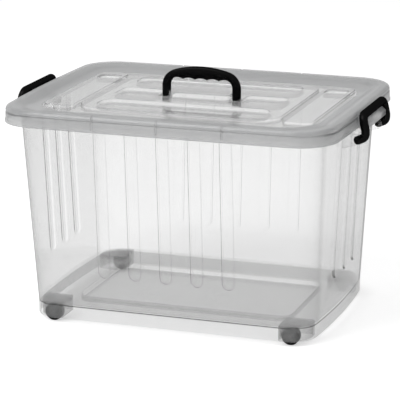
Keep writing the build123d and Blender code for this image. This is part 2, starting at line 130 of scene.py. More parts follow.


# Clear moulded plastic. The tint is clearness to the power of 1 over the cosine of the view, as a longer
# path through the wall is darker. The bend attribute is painted shade, set for each feature, that stands in
# for the light a bending wall steers away: the power also grows by it over the cosine's fourth power. A
# bend below 0 counts as much, but only from outside. The gloss grows with the fifth power of the slant.
# Haze is the share of light that is scattered.
def seeThrough(material, spec, clearness, haze, normal):
    inputs = {"Blend": 0.5, "Normal": normal}
    slant = addNode(material, "ShaderNodeLayerWeight", inputs).outputs["Facing"]
    cosine = mathNode(material, "SUBTRACT", 1.0, slant)
    cosine = mathNode(material, "MAXIMUM", cosine, clearLook["leastCosine"])
    # The bend attribute: painted shade on flanks, corners, creases and the foot line.
    bend = addNode(material, "ShaderNodeAttribute", attribute_name="bend").outputs["Fac"]
    behind = addNode(material, "ShaderNodeNewGeometry").outputs["Backfacing"]
    inward = mathNode(material, "MAXIMUM", bend, 0.0)
    inward = mathNode(material, "MULTIPLY", inward, clearLook["behindShare"])
    met = mixFloat(material, behind, mathNode(material, "ABSOLUTE", bend), inward)
    steer = mathNode(material, "DIVIDE", met, mathNode(material, "POWER", cosine, 3.0))
    power = mathNode(material, "DIVIDE", mathNode(material, "ADD", steer, 1.0), cosine)
    tint = mathNode(material, "POWER", clearness, power)
    grey = addNode(material, "ShaderNodeCombineColor", {0: tint, 1: tint, 2: tint}).outputs[0]
    through = addNode(material, "ShaderNodeBsdfTransparent", {"Color": grey}).outputs[0]
    straight = clearLook["gloss"] * clearLook["straightShare"]
    slantPower = mathNode(material, "POWER", slant, 5.0)
    share = mathNode(
        material, "MULTIPLY_ADD", slantPower, clearLook["gloss"] - straight, straight, clamp=True
    )
    glossy = mixShader(material, share, through, glossNode(material, spec["roughness"], normal))
    inputs = {"Color": spec["hazeColour"], "Normal": normal}
    scatter = addNode(material, "ShaderNodeBsdfDiffuse", inputs).outputs[0]
    glow = addNode(material, "ShaderNodeBsdfTranslucent", inputs).outputs[0]
    milk = mixShader(material, 0.5, scatter, glow)
    return finishMaterial(material, mixShader(material, haze, glossy, milk))


# Clear plastic of the tub, a little hazier and darker below its base line, where the darkness is painted
# shade, and of the wheel wells, darkened all over with painted shade

tubPlastic = {
    "wallClearness": 0.952,
    "shadedBaseClearness": 0.92,
    "baseLine": 0.036,
    "baseBlur": 0.001,
    "roughness": 0.05,
    "wallHaze": 0.035,
    "baseHaze": 0.038,
    "hazeColour": (0.80, 0.805, 0.81, 1),
    "scuffs": 0.06,
    "scuffScale": 26.0,
    "scuffRange": (0.62, 0.78),
    "waveScale": 9.0,
    "waveShare": 12.0,
    "grainScale": 420.0,
    "grainStrength": 0.5,
    "grainHeight": 0.00002,
}

# The wells and cheeks are darker, with a dark haze colour: painted shade of the cavity over each wheel.
wellPlastic = {
    **tubPlastic,
    "wallClearness": 0.90,
    "shadedBaseClearness": 0.90,
    "baseHaze": 0.02,
    "hazeColour": (0.35, 0.355, 0.36, 1),
}


# Slow waves and fine grain make the relief, and scuffs are the peaks of a noise between them.
def makeTubMaterial(name, spec):
    material = newMaterial(name)
    place = addNode(material, "ShaderNodeTexCoord").outputs["Object"]
    height = addNode(material, "ShaderNodeSeparateXYZ", {0: place}).outputs[2]
    line, blur = spec["baseLine"], spec["baseBlur"]
    # Below the base line the tint is darker: painted shade of the floor and the hollow under it.
    above = stepUp(material, height, line - blur, line + blur)
    clearness = mixFloat(material, above, spec["shadedBaseClearness"], spec["wallClearness"])
    waves = noiseAt(material, place, spec["waveScale"], 2.0)
    grain = noiseAt(material, place, spec["grainScale"], 2.0)
    normal = bumpFrom(material, spec, mathNode(material, "MULTIPLY_ADD", waves, spec["waveShare"], grain))
    smudge = noiseAt(material, place, spec["scuffScale"], 6.0, 0.7)
    smudge = stepUp(material, smudge, *spec["scuffRange"])
    milk = mixFloat(material, above, spec["baseHaze"], spec["wallHaze"])
    haze = mathNode(material, "MULTIPLY_ADD", smudge, spec["scuffs"], milk)
    return seeThrough(material, spec, clearness, haze, normal)


# Frosted rim and clear panel of the lid

lidPlastic = {
    "panelHalfLength": 0.250,
    "panelHalfWidth": 0.172,
    "panelRadius": 0.062,
    "frostRange": (-0.002, 0.004),
    "panelClearness": 0.945,
    "rimClearness": 0.90,
    "roughness": 0.12,
    "panelHaze": 0.10,
    "rimHaze": 0.42,
    "hazeColour": (0.68, 0.685, 0.69, 1),
    "cloudScale": 14.0,
    "cloudHaze": 0.08,
    "grainScale": 600.0,
    "grainStrength": 0.5,
    "grainHeight": 0.00003,
}


# The rim is frosted where the signed distance from the middle panel's rounded outline is over 0.
def makeLidMaterial(spec):
    material = newMaterial("lidFrostedPlastic")
    place = addNode(material, "ShaderNodeTexCoord").outputs["Object"]
    flat = vectorNode(material, "MULTIPLY", place, (1, 1, 0))
    radius = spec["panelRadius"]
    core = (spec["panelHalfLength"] - radius, spec["panelHalfWidth"] - radius, 0)
    past = vectorNode(material, "SUBTRACT", vectorNode(material, "ABSOLUTE", flat), core)
    reach = vectorNode(material, "LENGTH", vectorNode(material, "MAXIMUM", past), output="Value")
    rim = stepUp(material, mathNode(material, "SUBTRACT", reach, radius), *spec["frostRange"])
    clearness = mixFloat(material, rim, spec["panelClearness"], spec["rimClearness"])
    normal = bumpFrom(material, spec, noiseAt(material, place, spec["grainScale"], 2.0))
    cloud = noiseAt(material, place, spec["cloudScale"], 5.0, 0.6)
    cloud = mathNode(material, "SUBTRACT", cloud, 0.5)
    milk = mixFloat(material, rim, spec["panelHaze"], spec["rimHaze"])
    haze = mathNode(material, "MULTIPLY_ADD", cloud, spec["cloudHaze"], milk)
    return seeThrough(material, spec, clearness, haze, normal)


# Black, dark and steel finishes

blackPlastic = {
    "colour": (0.0012, 0.0012, 0.0013),
    "shadeSpread": 0.2,
    "roughness": 0.24,
    "roughnessSpread": 0.08,
    "specular": 0.0,
    "gloss": 0.005,
    "metallic": 0.0,
    "cloudScale": 30.0,
    "grainScale": 500.0,
    "grainStrength": 0.4,
    "grainHeight": 0.00002,
}

wheelPlastic = {
    **blackPlastic,
    "colour": (0.006, 0.006, 0.0063),
    "roughness": 0.55,
    "specular": 0.05,
    "gloss": 0.004,
    "grainHeight": 0.0001,
}

axleSteel = {
    **blackPlastic,
    "colour": (0.12, 0.12, 0.122),
    "roughness": 0.45,
    "specular": 0.5,
    "gloss": 0.02,
    "metallic": 1.0,
    "grainHeight": 0.00003,
}


# An opaque finish with fine grain in its relief and a slow change in its shade and roughness. Gloss is
# the share of light that it mirrors from every side alike.
def makePlainMaterial(name, spec):
    material = newMaterial(name)
    place = addNode(material, "ShaderNodeTexCoord").outputs["Object"]
    cloud = noiseAt(material, place, spec["cloudScale"], 4.0)
    spread = spec["roughnessSpread"]
    rough = mathNode(material, "MULTIPLY_ADD", cloud, 2 * spread, spec["roughness"] - spread)
    shade = mixFloat(material, cloud, 1 - spec["shadeSpread"], 1 + spec["shadeSpread"])
    inputs = {0: spec["colour"], "Scale": shade}
    tone = addNode(material, "ShaderNodeVectorMath", inputs, operation="SCALE").outputs[0]
    normal = bumpFrom(material, spec, noiseAt(material, place, spec["grainScale"], 3.0))
    inputs = {
        "Base Color": tone,
        "Roughness": rough,
        "Metallic": spec["metallic"],
        "Specular IOR Level": spec["specular"],
        "Normal": normal,
    }
    body = addNode(material, "ShaderNodeBsdfPrincipled", inputs).outputs[0]
    shine = glossNode(material, rough, normal)
    return finishMaterial(material, mixShader(material, spec["gloss"], body, shine))


tubMaterial = makeTubMaterial("tubClearPlastic", tubPlastic)
wellMaterial = makeTubMaterial("wellShadedPlastic", wellPlastic)
lidMaterial = makeLidMaterial(lidPlastic)
blackMaterial = makePlainMaterial("blackGlossPlastic", blackPlastic)
wheelMaterial = makePlainMaterial("darkWheelPlastic", wheelPlastic)
steelMaterial = makePlainMaterial("axleSteel", axleSteel)
print("materials done")


# Helpers for meshes

# Points closer than mergeDistance become one, and edges shorter than leastEdge are dissolved.
mergeDistance = 0.000002
leastEdge = 0.0000005


def unit(vector):
    return vector / np.linalg.norm(vector)


# A smooth step of a share: 0 up to 0, 1 from 1, and between them 3 times its square less twice its cube.
def smooth(share):
    share = np.clip(share, 0, 1)
    return share ** 2 * (3 - 2 * share)


# Middles of a row of like features, evenly spaced about 0.
def rowCentres(pitch, count):
    return (np.arange(count) - (count - 1) / 2) * pitch


# Stations along such a row: the same few across each feature, and one halfway between each two.
def rowStations(across, pitch, count):
    centres = rowCentres(pitch, count)
    between = (centres[:-1] + centres[1:]) / 2
    return np.sort(np.concatenate([(centres[:, None] + across).ravel(), between]))


def middleAndHalf(low, high):
    return (low + high) / 2, (high - low) / 2


def addObject(name, data):
    item = bpy.data.objects.new(name, data)
    scene.collection.objects.link(item)
    return item


# Strips of quads between rings of points. Each row of the grid is a ring; the last point joins the first.
def stripFaces(rows, columns, firstVertex=0, closeRows=False):
    row = np.arange(rows if closeRows else rows - 1)
    below = firstVertex + row[:, None] * columns
    above = firstVertex + ((row + 1) % rows)[:, None] * columns
    here = np.arange(columns)[None, :]
    after = (here + 1) % columns
    quads = np.stack([below + here, below + after, above + after, above + here], -1)
    return quads.reshape(-1, 4).tolist()


# Points with their bend value, which holds painted shade, as a fourth column; 0 where none is given.
def withPaintedShade(points):
    points = points.reshape(-1, points.shape[-1])
    return points if points.shape[1] == 4 else np.pad(points, ((0, 0), (0, 1)))


# A mesh from points with bend values of painted shade and from faces.
def meshFrom(name, points, faces):
    mesh = bpy.data.meshes.new(name)
    mesh.from_pydata(points[:, :3].tolist(), [], faces)
    bend = mesh.attributes.new("bend", "FLOAT", "POINT")
    bend.data.foreach_set("value", np.ascontiguousarray(points[:, 3], dtype=np.float32))
    return mesh


# Closed skins over rows of points, each row a ring. The first and the last ring of a skin are closed by
# one face.
def gridsPiece(name, grids, material, body, nodes, sharpAngle=50):
    points, faces, count = [], [], 0
    for grid in grids:
        rows, columns = grid.shape[:2]
        points.append(withPaintedShade(grid))
        faces.extend(stripFaces(rows, columns, count))
        last = count + (rows - 1) * columns
        faces.append(list(range(count, count + columns))[::-1])
        faces.append(list(range(last, last + columns)))
        count += rows * columns
    mesh = meshFrom(name, np.concatenate(points), faces)
    finishPiece(name, mesh, material, body, nodes, sharpAngle)


# Doubled points are merged, faces are turned outwards and the piece is handed to the frame.
def finishPiece(name, mesh, material, body, nodes, sharpAngle=50):
    work = bmesh.new()
    work.from_mesh(mesh)
    bmesh.ops.remove_doubles(work, verts=work.verts, dist=mergeDistance)
    bmesh.ops.dissolve_degenerate(work, edges=work.edges, dist=leastEdge)
    bmesh.ops.recalc_face_normals(work, faces=work.faces)
    work.to_mesh(mesh)
    work.free()
    mesh.shade_smooth()
    mesh.set_sharp_from_angle(angle=math.radians(sharpAngle))
    mesh.materials.clear()
    mesh.materials.append(material)
    piece = addObject(name, mesh)
    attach(piece, body)
    if nodes:
        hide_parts(*nodes)
    print("piece", name, len(mesh.polygons), "faces")


# Places along one side of an outline: the fixed spots in the middle, then even steps out to where the
# corner starts.
def spotsTo(touch, spots, steps):
    outer = spots[-1] + (touch - spots[-1]) * np.linspace(0, 1, steps + 1)[1:]
    return np.concatenate([-outer[::-1], spots, outer])


# Points round a rounded rectangle whose sides and ends swell outwards by a bow. A side's distance from
# the middle is its half width less its bow times the square of the share of the way to the corner, and
# each corner is an arc whose centre lies one radius inside both of its sides.
def outlineRing(halfLength, halfWidth, radius, endBow, sideBow, spots):
    cornerX, cornerY = halfLength - endBow, halfWidth - sideBow
    touchX, touchY = cornerX - radius, cornerY - radius
    for _ in range(16):
        sideLean = 2 * sideBow * touchX / cornerX ** 2
        endLean = 2 * endBow * touchY / cornerY ** 2
        centreX = halfLength - endBow * (touchY / cornerY) ** 2 - radius / math.hypot(1, endLean)
        centreY = halfWidth - sideBow * (touchX / cornerX) ** 2 - radius / math.hypot(1, sideLean)
        touchX = centreX + radius * sideLean / math.hypot(1, sideLean)
        touchY = centreY + radius * endLean / math.hypot(1, endLean)
    alongX = spotsTo(touchX, spots["sides"], spots["sideSteps"])
    alongY = spotsTo(touchY, spots["ends"], spots["endSteps"])
    side = np.stack([alongX, halfWidth - sideBow * (alongX / cornerX) ** 2], -1)
    end = np.stack([halfLength - endBow * (alongY / cornerY) ** 2, alongY], -1)
    turn = np.linspace(math.atan(endLean), math.pi / 2 - math.atan(sideLean), spots["cornerSteps"])[1:-1]
    corner = np.array([centreX, centreY]) + radius * np.stack([np.cos(turn), np.sin(turn)], -1)
    flipX, flipY = np.array([-1, 1]), np.array([1, -1])
    return np.concatenate(
        [
            side * flipY,
            (corner * flipY)[::-1],
            end,
            corner,
            side[::-1],
            (corner * flipX)[::-1],
            (end * flipX)[::-1],
            corner * -1,
        ]
    )


# A flat outline set at one height, with its bend value of painted shade.
def atHeight(ring, height, bend=0.0):
    return np.column_stack([ring[:, :2], np.full(len(ring), height), np.full(len(ring), bend)])


# Evenly turned points on an arc, as (first, second) pairs, from one angle in degrees to another.
def arcPoints(centre, radius, first, last, count):
    angle = np.radians(np.linspace(first, last, count))
    return np.array(centre) + np.array(radius) * np.stack([np.cos(angle), np.sin(angle)], -1)


# The arc that rounds a corner: it starts and ends at its radius times the tangent of half the corner's
# turn away from it.
def cornerArc(before, corner, after, radius, steps):
    into, out = unit(corner - before), unit(after - corner)
    turn = math.acos(float(np.clip(into @ out, -1, 1)))
    reach = radius * math.tan(turn / 2)
    centre = corner + unit(out - into) * radius / math.cos(turn / 2)
    angle = np.linspace(0, turn, steps)[:, None]
    return centre + (corner - into * reach - centre) * np.cos(angle) + into * radius * np.sin(angle)


# A flat closed outline with its corners rounded.
def roundedPolygon(corners, radii, steps=6):
    corners = np.asarray(corners, float)
    radii = np.broadcast_to(radii, len(corners))
    turns = zip(np.roll(corners, 1, 0), corners, np.roll(corners, -1, 0), radii)
    return np.concatenate([cornerArc(*turn, steps) for turn in turns])


# An open line in space with its inner corners rounded.
def roundedPath(corners, radii, steps):
    corners = np.asarray(corners, float)
    turns = zip(corners[:-2], corners[1:-1], corners[2:], radii)
    return np.concatenate([corners[:1], *[cornerArc(*turn, steps) for turn in turns], corners[-1:]])


# The outline moved inwards along its own normals. Its points run anticlockwise.
def drawnIn(outline, distance):
    def units(rows):
        return rows / np.maximum(np.linalg.norm(rows, axis=1, keepdims=True), 1e-9)

    along = units(outline - np.roll(outline, 1, 0)) + units(np.roll(outline, -1, 0) - outline)
    return outline + units(np.stack([-along[:, 1], along[:, 0]], -1)) * distance


# Rings of a flat shape drawn in the XZ plane and carried along Y, with its two rims rounded by edge.
def slabRings(outline, lowY, highY, edge):
    after = np.roll(outline, -1, 0)
    area = np.sum(outline[:, 0] * after[:, 1] - after[:, 0] * outline[:, 1])
    outline = outline if area > 0 else outline[::-1]
    bend = np.radians(np.linspace(0, 90, 4))
    rim = edge * (1 - np.sin(bend))[::-1]
    draws = edge * (1 - np.cos(bend))[::-1]
    places = np.concatenate([lowY + rim, (highY - rim)[::-1]])
    rings = []
    for place, draw in zip(places, np.concatenate([draws, draws[::-1]])):
        ring = drawnIn(outline, draw)
        rings.append(np.stack([ring[:, 0], np.full(len(ring), place), ring[:, 1]], -1))
    return np.array(rings)


# The rounded corner between two levels of a moulded face: outwards distance and height along a wall
# that climbs or falls from outerZ to innerZ, with a small arc at its foot and another at its top.
def stepProfile(outerZ, innerZ, bend, rest):
    rise = 1 if innerZ > outerZ else -1
    foot = arcPoints((bend, outerZ + rise * bend), (bend, rise * bend), -90, -180, 5)
    top = arcPoints((-bend, innerZ - rise * bend), (bend, rise * bend), 0, 90, 5)
    return np.concatenate([[[bend + rest, outerZ]], foot, top, [[-bend - rest, innerZ]]])


# Points round a rounded rectangle: its corner centres plus the corner radius along each angle.
def roundedSection(halfWidth, halfDepth, corner, steps):
    angle = (np.arange(4 * steps) + 0.5) / (4 * steps) * 2 * np.pi
    signs = np.stack([np.sign(np.cos(angle)), np.sign(np.sin(angle))], -1)
    inner = np.stack([halfWidth - corner, halfDepth - corner], -1)
    circle = np.stack([np.cos(angle), np.sin(angle)], -1)
    return signs * inner[..., None, :] + circle * np.asarray(corner)[..., None, None]


# Rings about the Y axis: a profile of (radius, distance along Y) turned through a full circle.
def lathe(profile, centre, steps):
    angle = np.linspace(0, 2 * np.pi, steps, endpoint=False)[None, :]
    radius = profile[:, 0][:, None]
    along = profile[:, 1][:, None] + 0 * angle
    turned = np.stack([radius * np.cos(angle), along, radius * np.sin(angle)], -1)
    return turned + np.asarray(centre)


# Sizes that the tub, the lid and their fittings share

binShape = {
    "lidHalfLength": 0.300,
    "lidHalfWidth": 0.236,
    "lidRadius": 0.068,
    "lidEndBow": 0.0073,
    "lidSideBow": 0.0035,
    "panelHeight": 0.3785,
    "wall": 0.0024,
    "footRise": 0.0338,
}


# The lid's outline drawn in by inset.
def lidOutline(inset, spots):
    return outlineRing(
        binShape["lidHalfLength"] - inset,
        binShape["lidHalfWidth"] - inset,
        binShape["lidRadius"] - inset,
        binShape["lidEndBow"],
        binShape["lidSideBow"],
        spots,
    )


# Tub: fluted walls, rolled rim, skirt and sunk floor

tub = {
    "topEndInset": 0.023,
    "topSideInset": 0.029,
    "endDraft": 0.016,
    "sideDraft": 0.023,
    "footRadius": 0.047,
    "topRadius": 0.044,
    "endBow": 0.010,
    "fluteHalfWidth": 0.012,
    "fluteDepth": 0.0025,
    "fluteFlank": 0.0021,
    "fluteBottom": 0.0912,
    "fluteFade": 0.366,
    "fadeHeight": 0.003,
    "sideFlutePitch": 0.0563,
    "sideFluteCount": 5,
    "endFlutePitch": 0.058,
    "endFluteCount": 3,
    "recessEndInset": 0.066,
    "recessSideInset": 0.0765,
    "recessRadius": 0.022,
    "ledgeHeight": 0.0295,
    "floorHeight": 0.0215,
    "bend": 0.0012,
    "rimInset": 0.0068,
    "lipHeight": 0.012,
    "lipWall": 0.002,
    "edge": 0.0006,
    # Painted shade, carried as bend values: flute flanks, corners, the foot line and the recess step.
    "fluteShade": 1.25,
    "trailingShadeShare": 0.5,
    "endFluteShade": 5.0,
    "cornerShade": 0.05,
    "footShade": 18.0,
    "endFootShare": 0.3,
    "recessShade": 0.01,
    "sideSteps": 5,
    "endSteps": 4,
    "cornerSteps": 18,
}


# Stations along a wall: close together over each flute's flanks and evenly spaced between them.
def fluteStations(spec, pitch, count):
    half = spec["fluteHalfWidth"]
    inner = half - binShape["wall"] - spec["fluteFlank"]
    flanks = np.linspace(inner - 0.0003, half + 0.0003, 13)
    middle = np.linspace(0, inner, 5)[:-1]
    return rowStations(np.unique(np.concatenate([-flanks, -middle, middle, flanks])), pitch, count)


# The share of a flute's swell at each station and height: 1 inside its outline and falling to 0 over the
# flank, by a smooth step of the distance from its middle line, or from its round foot's centre.
def fluteSwell(spec, along, height, pitch, count, inset):
    across = np.abs(along[:, None] - rowCentres(pitch, count)).min(axis=1)
    half = spec["fluteHalfWidth"] - inset
    below = np.minimum(height - spec["fluteBottom"] - spec["fluteHalfWidth"], 0)
    fade = np.clip((spec["fluteFade"] - height) / spec["fadeHeight"], 0, 1)
    return smooth((half - np.hypot(across, below)) / spec["fluteFlank"]) * fade


# The tub's wall at a height: its outline at that share of the way up, swollen outwards at the flutes. Its
# outer skin carries painted shade as its bend value: most halfway down a flute's flank, less on the long
# sides' trailing flanks, and a little round the corners. The bend of the end flutes is below 0, so that
# their painted shade shows only from outside.
def wallRing(spec, height, inset, spots, top):
    share = (height - binShape["footRise"]) / (top - binShape["footRise"])
    halfLength = binShape["lidHalfLength"] - spec["topEndInset"] - spec["endDraft"] * (1 - share) - inset
    halfWidth = binShape["lidHalfWidth"] - spec["topSideInset"] - spec["sideDraft"] * (1 - share) - inset
    radius = spec["footRadius"] + (spec["topRadius"] - spec["footRadius"]) * share - inset
    ring = outlineRing(halfLength, halfWidth, radius, spec["endBow"], 0.0, spots)
    onSide = np.abs(ring[:, 1]) > halfWidth - 0.0000001
    onEnd = np.abs(ring[:, 1]) < halfWidth - radius + 0.001
    side = fluteSwell(spec, ring[:, 0], height, spec["sideFlutePitch"], spec["sideFluteCount"], inset)
    end = fluteSwell(spec, ring[:, 1], height, spec["endFlutePitch"], spec["endFluteCount"], inset)
    side, end = side * onSide, end * onEnd
    ring += np.sign(ring) * np.stack([end, side], -1) * spec["fluteDepth"]
    trailing = np.roll(side, -1) < np.roll(side, 1)
    # Painted shade on the flutes' flanks, lighter on trailing flanks, and round the corners.
    bend = spec["fluteShade"] * 4 * side * (1 - side) * np.where(trailing, spec["trailingShadeShare"], 1.0)
    bend -= spec["endFluteShade"] * 4 * end * (1 - end)
    bend += spec["cornerShade"] * ~(onSide | onEnd)
    return atHeight(ring, height, bend * (inset == 0))


# One skin from the middle of the floor up the inside, over the rim, down the outside and under the floor.
# Two rings below the walls' foot carry a bend below 0, weaker at the ends: a painted dark line of shade
# round the tub.
def makeTub(spec):
    low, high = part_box("tub")
    top, skirtFoot = high[2], low[2]
    wall, foot, edge, bend = binShape["wall"], binShape["footRise"], spec["edge"], spec["bend"]
    under, lipFoot, lip = top - wall, top - spec["lipHeight"], spec["lipWall"]
    spots = {
        "sides": fluteStations(spec, spec["sideFlutePitch"], spec["sideFluteCount"]),
        "ends": fluteStations(spec, spec["endFlutePitch"], spec["endFluteCount"]),
        **{key: spec[key] for key in ("sideSteps", "endSteps", "cornerSteps")},
    }
    footLength = binShape["lidHalfLength"] - spec["topEndInset"] - spec["endDraft"]
    footWidth = binShape["lidHalfWidth"] - spec["topSideInset"] - spec["sideDraft"]

    def wallAt(height, inset):
        return wallRing(spec, height, inset, spots, top)

    def neckAt(inset, height):
        return atHeight(wallAt(top, inset), height)

    def rimAt(inset, height):
        return atHeight(lidOutline(spec["rimInset"] + inset, spots), height)

    def footAt(inset, height, shade=0.0):
        return atHeight(wallAt(foot, inset), height, shade)

    def recess(spread, height, shade=0.0):
        halfLength = footLength - spec["recessEndInset"] + spread
        halfWidth = footWidth - spec["recessSideInset"] + spread
        ring = outlineRing(halfLength, halfWidth, spec["recessRadius"] + spread, 0.0, 0.0, spots)
        return atHeight(ring, height, shade)

    def floorRings(drop, outer):
        step = stepProfile(spec["ledgeHeight"] - drop, spec["floorHeight"] - drop, bend, bend)[::-1]
        # A light painted shade on the recess step, on the upper skin only.
        shade = spec["recessShade"] * (drop == 0)
        inner = recess(drop + 2 * bend, spec["ledgeHeight"] - drop)
        return (
            [recess(drop - bend * 5, spec["floorHeight"] - drop)]
            + [recess(drop + out, height, shade) for out, height in step]
            + [inner + (outer - inner) * share for share in (0.05, 0.5, 0.9, 0.97)]
        )

    start, fade = spec["fluteBottom"], spec["fluteFade"]
    arch = start + spec["fluteHalfWidth"]
    heights = np.concatenate(
        [
            [foot, foot + bend, foot + 0.02, start - 0.004],
            np.linspace(start - 0.0004, start + 0.0026, 8),
            np.linspace(start + 0.0036, arch + 0.0006, 9),
            np.linspace(arch + 0.02, fade - 0.0032, 6),
            fade + np.array([-0.0022, -0.0008, 0.0004, 0.002]),
        ]
    )
    mouth = [neckAt(wall, top - edge), neckAt(wall - edge, top), wallAt(top, 0.0), rimAt(2 * edge, top)]
    rolled = [rimAt(edge - out, top - edge + up) for out, up in arcPoints((0, 0), edge, 90, 0, 4)]
    hanging = [
        rimAt(0.0, lipFoot + edge),
        rimAt(edge, lipFoot),
        rimAt(lip, lipFoot + edge),
        rimAt(lip, under - edge),
        rimAt(lip + edge, under),
        neckAt(-edge, under),
        neckAt(0.0, under - edge),
    ]
    onSide = np.abs(wallAt(foot, 0.0)[:, 1]) > footWidth - 0.0000001
    # Painted shade for the dark foot line, weaker at the ends.
    footShade = -spec["footShade"] * np.where(onSide, 1.0, spec["endFootShare"])
    skirt = [
        footAt(0.0, foot - 0.2 * bend, footShade),
        footAt(0.0, foot - 1.1 * bend, footShade),
        footAt(0.0, foot - 1.4 * bend),
        footAt(0.0, skirtFoot + edge),
        footAt(edge, skirtFoot),
        footAt(wall - edge, skirtFoot),
        footAt(wall, skirtFoot + edge),
        footAt(wall, foot - wall - bend),
    ]
    rings = (
        floorRings(0.0, footAt(wall, foot))
        + [wallAt(height, wall) for height in heights[1:]]
        + mouth
        + rolled
        + hanging
        + [wallAt(height, 0.0) for height in heights[::-1]]
        + skirt
        + floorRings(wall, footAt(wall, foot - wall))[::-1]
    )
    gridsPiece("tubShell", [np.array(rings)], tubMaterial, "tub", ["tub"], 42)


makeTub(tub)


# Wheel wells: a hollow block over each wheel, its cheeks, and the ears that carry the latches

wheelPlaces = ("front_left", "front_right", "rear_left", "rear_right")

fittings = {
    "wellStartX": 0.2000,
    "wellStartY": 0.1270,
    "wellEndX": 0.2480,
    "wellEndY": 0.1812,
    "wellCornerRadius": 0.0440,
    "wellBend": 0.004,
    "wellTop": 0.0351,
    "wellEdge": 0.0008,
    "cheekGap": 0.0083,
    "cheekThickness": 0.0026,
    "cheekRound": 0.0065,
    "cheekTopWidth": 0.030,
    "earFace": 0.0635,
    "earThickness": 0.0055,
    "earRound": 0.0085,
    "earHeight": 0.026,
    "earRoot": 0.2745,
    "pivotX": 0.3035,
    "pivotZ": 0.341,
    "plateEdge": 0.0006,
}


# The well's skin runs over its top, down its outside, round its foot and up the inside to the ceiling.
def wellRings(spec, flipX, flipY, foot):
    wall, edge = binShape["wall"], spec["wellEdge"]
    lowX, lowY = spec["wellStartX"] - wall, spec["wellStartY"] - wall
    highX, highY = spec["wellEndX"], spec["wellEndY"]
    bend, top = spec["wellBend"], spec["wellTop"]
    corners = [(lowX, lowY), (highX, lowY), (highX, highY), (lowX, highY)]
    outline = roundedPolygon(corners, [bend, bend, spec["wellCornerRadius"], bend], 9)
    over = arcPoints((edge, top - edge), (-edge, edge), 90, 0, 5)
    inner = wall + edge
    under = arcPoints((inner, top - wall - edge), (-edge, edge), 0, 90, 5)
    profile = np.concatenate(
        [
            [[4 * edge, top]],
            over,
            [[0, foot + edge / 2], [edge / 2, foot], [wall - edge / 2, foot], [wall, foot + edge / 2]],
            under,
            [[inner + 3 * edge, top - wall]],
        ]
    )
    rings = [atHeight(drawnIn(outline, draw), height) for draw, height in profile]
    return np.array(rings) * np.array([flipX, flipY, 1, 1])


# A cheek hangs from the well's ceiling and ends in a half circle about the axle.
def cheekOutline(spec, wheelX, axleZ):
    half, ceiling = spec["cheekTopWidth"] / 2, spec["wellTop"] - binShape["wall"]
    lug = arcPoints((wheelX, axleZ), spec["cheekRound"], 0, -180, 15)
    return np.concatenate([[(wheelX - half, ceiling), (wheelX + half, ceiling)], lug])


# An ear runs from the tub's wall to a half circle about the latch's pivot.
def earOutline(spec, side):
    lug = arcPoints((spec["pivotX"], spec["pivotZ"]), spec["earRound"], 90, -90, 17)
    root, top = spec["earRoot"], spec["pivotZ"] + spec["earRound"]
    return np.concatenate([lug, [(root, top - spec["earHeight"]), (root, top)]]) * (side, 1)


def makeFittings(spec):
    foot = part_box("tub")[0][2]
    blocks = [wellRings(spec, flipX, flipY, foot) for flipX in (-1, 1) for flipY in (-1, 1)]
    gridsPiece("wheelWells", blocks, wellMaterial, "tub", [], 42)

    cheeks, ears = [], []
    for place in wheelPlaces:
        centre = middleAndHalf(*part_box("wheel_" + place))[0]
        outline = cheekOutline(spec, centre[0], centre[2])
        for near in (-spec["cheekGap"] - spec["cheekThickness"], spec["cheekGap"]):
            start = centre[1] + near
            cheeks.append(slabRings(outline, start, start + spec["cheekThickness"], spec["plateEdge"]))
    gridsPiece("wheelCheeks", cheeks, wellMaterial, "tub", [], 42)

    for side in (-1, 1):
        outline = earOutline(spec, side)
        for start in (-spec["earFace"], spec["earFace"] - spec["earThickness"]):
            ears.append(slabRings(outline, start, start + spec["earThickness"], spec["plateEdge"]))
    gridsPiece("latchEars", ears, tubMaterial, "tub", [], 42)


makeFittings(fittings)


# Lid: hem, skirt and bead round the edge, a falling band, and the panel with its raised and sunk fields

lid = {
    "hemDepth": 0.001,
    "hemHeight": 0.004,
    "skirtTop": 0.0163,
    "creaseDepth": 0.0013,
    "creaseHeight": 0.0032,
    "creaseShade": 2.5,
    "beadFoot": 0.0203,
    "beadStart": 0.0005,
    "beadTopInset": 0.0065,
    "crestRise": 0.0087,
    "crestWidth": 0.003,
    "crestPower": 1.3,
    "dipPower": 1.4,
    "dipRise": 0.0034,
    "dipEndInset": 0.034,
    "dipSideInset": 0.033,
    "dipRadius": 0.058,
    "panelEndInset": 0.050,
    "panelSideInset": 0.064,
    "panelRadius": 0.062,
    "notchWidth": 0.0042,
    "notchDepth": 0.001,
    "notchFlank": 0.0012,
    "notchShade": 3.5,
    "notchPitch": 0.115,
    "notchCount": 3,
    "sideSteps": 8,
    "endSteps": 8,
    "cornerSteps": 20,
}

fields = {
    "plateauRise": 0.005,
    "plateauEndInset": 0.069,
    "plateauSideInset": 0.027,
    "plateauRadius": 0.035,
    "padGap": 0.007,
    "padInset": 0.007,
    "padRadius": 0.016,
    "grooveDepth": 0.0064,
    "grooveGap": 0.036,
    "grooveSideInset": 0.0145,
    "grooveEndInset": 0.028,
    "grooveRadius": 0.024,
    "middleGrooveStart": 0.078,
    "middleGrooveRadius": 0.012,
    "padGrooveWidth": 0.034,
    "padGrooveSideInset": 0.020,
    "padGrooveEndInset": 0.008,
    "padGrooveRadius": 0.008,
    "pedestalHalfLength": 0.0566,
    "pedestalHalfWidth": 0.022,
    "pedestalRadius": 0.012,
    "pedestalHeight": 0.008,
    "slotStart": 0.0574,
    "slotEnd": 0.0726,
    "slotFront": -0.0225,
    "slotRear": 0.0073,
    "slotRadius": 0.0015,
    "slotFloor": 0.3775,
    "slotSkin": 0.001,
    "bend": 0.0008,
    "rest": 0.0004,
    "tightBend": 0.0003,
    "tightRest": 0.00008,
    "shade": 0.25,
    "spots": {"sides": np.zeros(1), "ends": np.zeros(1), "sideSteps": 1, "endSteps": 1, "cornerSteps": 12},
}


